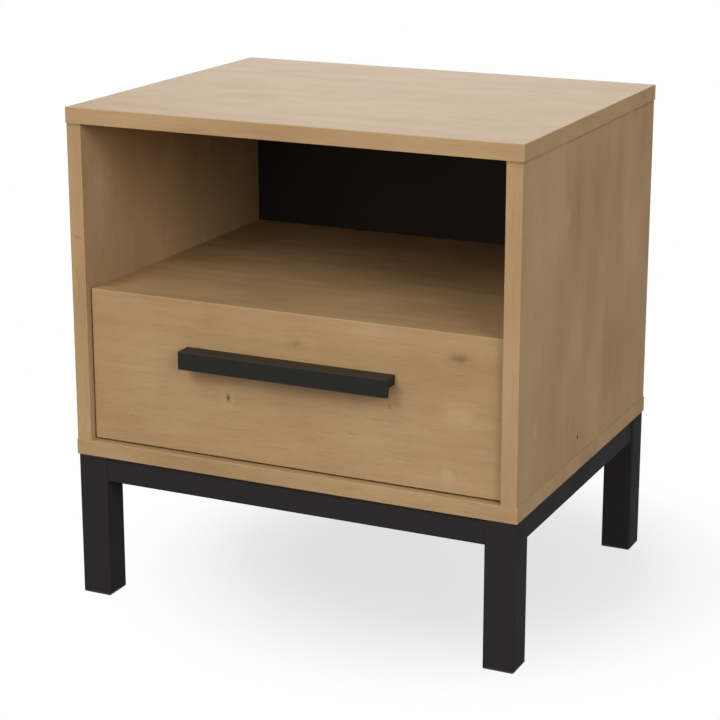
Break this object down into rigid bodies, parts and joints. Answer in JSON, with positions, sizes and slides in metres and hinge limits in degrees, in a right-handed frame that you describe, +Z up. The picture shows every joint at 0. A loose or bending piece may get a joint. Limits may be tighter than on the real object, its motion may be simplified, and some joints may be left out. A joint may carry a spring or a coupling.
{
  "type": "nightstand",
  "caption": "Bedside cabinet in light oak board with an open niche above a drawer on telescopic runners, black bar pull and black square-tube base.",
  "frame": {"origin": "on the floor, below the middle of the overall outline, handle included", "axes": "+X right as seen from the front, +Y to the back, +Z up"},
  "size_m": [0.45, 0.3714, 0.4765],
  "materials": {
    "oak_board": "matt light knotty oak board",
    "black_board": "matt black painted hardboard",
    "drawer_board": "plain pale wood-effect board",
    "drawer_hardboard": "smooth pale hardboard",
    "dowel_beech": "fluted beech",
    "black_steel": "fine-textured black powder coat",
    "handle_black": "matt black coat",
    "glide_plastic": "moulded black plastic",
    "bumper_rubber": "soft black rubber",
    "cam_zinc": "cast zinc",
    "fastener_steel": "bright zinc-plated steel",
    "runner_steel": "zinc-plated rolled steel",
    "bearing_steel": "polished bearing steel"
  },
  "bodies": {
    "cabinet": {"back_panel": "black_board", "base_screws": "fastener_steel", "bottom_confirmat_screws": "fastener_steel", "bottom_dowels": "dowel_beech", "bottom_panel": "oak_board", "cabinet_runner_screws": "fastener_steel", "front_left_corner_plate": "black_steel", "front_left_glide": "glide_plastic", "front_left_leg": "black_steel", "front_rail": "black_steel", "front_right_corner_plate": "black_steel", "front_right_glide": "glide_plastic", "front_right_leg": "black_steel", "left_rail": "black_steel", "left_runner_bumper": "bumper_rubber", "left_runner_cabinet_member": "runner_steel", "left_side_panel": "oak_board", "rear_left_corner_plate": "black_steel", "rear_left_glide": "glide_plastic", "rear_left_leg": "black_steel", "rear_rail": "black_steel", "rear_right_corner_plate": "black_steel", "rear_right_glide": "glide_plastic", "rear_right_leg": "black_steel", "right_rail": "black_steel", "right_runner_bumper": "bumper_rubber", "right_runner_cabinet_member": "runner_steel", "right_side_panel": "oak_board", "shelf_cam_bolts": "fastener_steel", "shelf_cam_discs": "cam_zinc", "shelf_dowels": "dowel_beech", "shelf_panel": "oak_board", "top_dowels": "dowel_beech", "top_panel": "oak_board"},
    "drawer": {"drawer_back": "drawer_board", "drawer_back_screws": "fastener_steel", "drawer_bottom": "drawer_hardboard", "drawer_cam_bolts": "fastener_steel", "drawer_cam_discs": "cam_zinc", "drawer_dowels": "dowel_beech", "drawer_front": "oak_board", "drawer_left_side": "drawer_board", "drawer_right_side": "drawer_board", "drawer_runner_screws": "fastener_steel", "handle": "handle_black", "handle_screws": "fastener_steel", "left_runner_drawer_member": "runner_steel", "right_runner_drawer_member": "runner_steel"},
    "left_middle_member": {"left_runner_middle_member": "runner_steel"},
    "left_outer_cage": {"left_outer_ball_cage": "bearing_steel", "left_outer_balls": "bearing_steel"},
    "left_inner_cage": {"left_inner_ball_cage": "bearing_steel", "left_inner_balls": "bearing_steel"},
    "right_middle_member": {"right_runner_middle_member": "runner_steel"},
    "right_outer_cage": {"right_outer_ball_cage": "bearing_steel", "right_outer_balls": "bearing_steel"},
    "right_inner_cage": {"right_inner_ball_cage": "bearing_steel", "right_inner_balls": "bearing_steel"}
  },
  "joints": [
    {"name": "drawer_slide", "type": "slide", "parent": "cabinet", "child": "drawer", "axis": [0, -1, 0], "range_m": [0, 0.28]},
    {"name": "left_middle_member_slide", "type": "slide", "parent": "cabinet", "child": "left_middle_member", "axis": [0, -1, 0], "range_m": [0, 0.14]},
    {"name": "left_outer_cage_slide", "type": "slide", "parent": "cabinet", "child": "left_outer_cage", "axis": [0, -1, 0], "range_m": [0, 0.07]},
    {"name": "left_inner_cage_slide", "type": "slide", "parent": "cabinet", "child": "left_inner_cage", "axis": [0, -1, 0], "range_m": [0, 0.21]},
    {"name": "right_middle_member_slide", "type": "slide", "parent": "cabinet", "child": "right_middle_member", "axis": [0, -1, 0], "range_m": [0, 0.14]},
    {"name": "right_outer_cage_slide", "type": "slide", "parent": "cabinet", "child": "right_outer_cage", "axis": [0, -1, 0], "range_m": [0, 0.07]},
    {"name": "right_inner_cage_slide", "type": "slide", "parent": "cabinet", "child": "right_inner_cage", "axis": [0, -1, 0], "range_m": [0, 0.21]}
  ],
  "couplings": [
    {"joint": "left_middle_member_slide", "follows": "drawer_slide", "ratio": 0.5},
    {"joint": "left_outer_cage_slide", "follows": "drawer_slide", "ratio": 0.25},
    {"joint": "left_inner_cage_slide", "follows": "drawer_slide", "ratio": 0.75},
    {"joint": "right_middle_member_slide", "follows": "drawer_slide", "ratio": 0.5},
    {"joint": "right_outer_cage_slide", "follows": "drawer_slide", "ratio": 0.25},
    {"joint": "right_inner_cage_slide", "follows": "drawer_slide", "ratio": 0.75}
  ]
}
